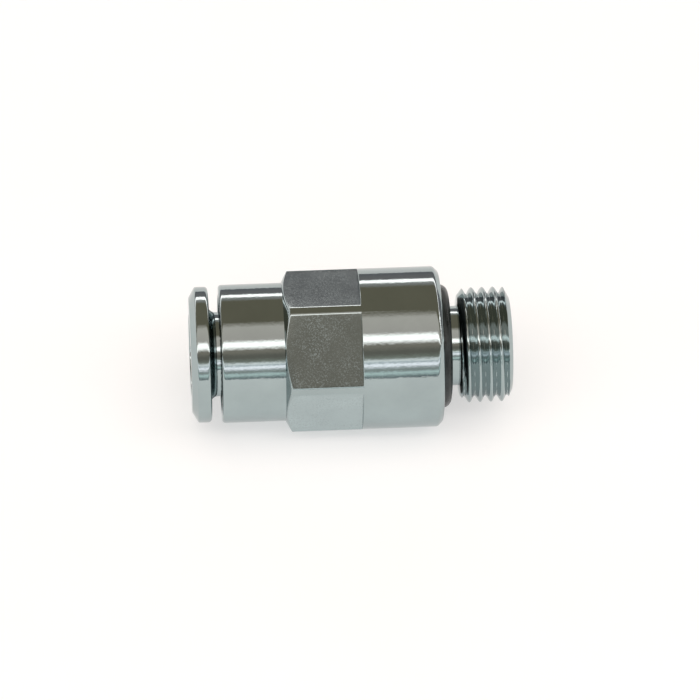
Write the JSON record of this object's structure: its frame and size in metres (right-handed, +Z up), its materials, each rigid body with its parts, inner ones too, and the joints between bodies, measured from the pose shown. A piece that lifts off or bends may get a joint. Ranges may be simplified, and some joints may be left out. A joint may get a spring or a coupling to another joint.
{
  "type": "push to connect fitting",
  "caption": "Straight push-in tube fitting in plated metal, with a release ring, a hexagon for a wrench, a face seal and a short male pipe thread.",
  "frame": {"origin": "on the fitting's axis, in the plane of the flange face that the port's face meets", "axes": "+X along the axis out of the male thread; the tube goes in from -X; +Z up as the fitting lies on a bench, with one flat of the hexagon facing -Y and up by 43.3 degrees"},
  "size_m": [0.0269, 0.0136, 0.0136],
  "materials": {
    "nickel_plate": "bright nickel plating over brass, satin on the milled flats",
    "stainless": "stamped sheet",
    "white_plastic": "moulded",
    "black_rubber": "nitrile rubber, matt"
  },
  "bodies": {
    "fitting": {"fitting_body": "nickel_plate", "port_o_ring": "black_rubber", "guide_sleeve": "nickel_plate", "tube_seal": "black_rubber", "seal_washer": "nickel_plate"},
    "grip_set": {"grip_ring": "stainless", "collet": "white_plastic"},
    "release": {"release_ring": "nickel_plate"}
  },
  "joints": [
    {"name": "grip_turn", "type": "hinge", "parent": "fitting", "child": "grip_set", "pos_m": [-0.0134, 0, 0], "axis": [1, 0, 0], "continuous": true},
    {"name": "release_slide", "type": "slide", "parent": "grip_set", "child": "release", "axis": [1, 0, 0], "range_m": [0, 0.0007], "stiffness_N_per_m": 200, "springref_m": -0.0003}
  ]
}
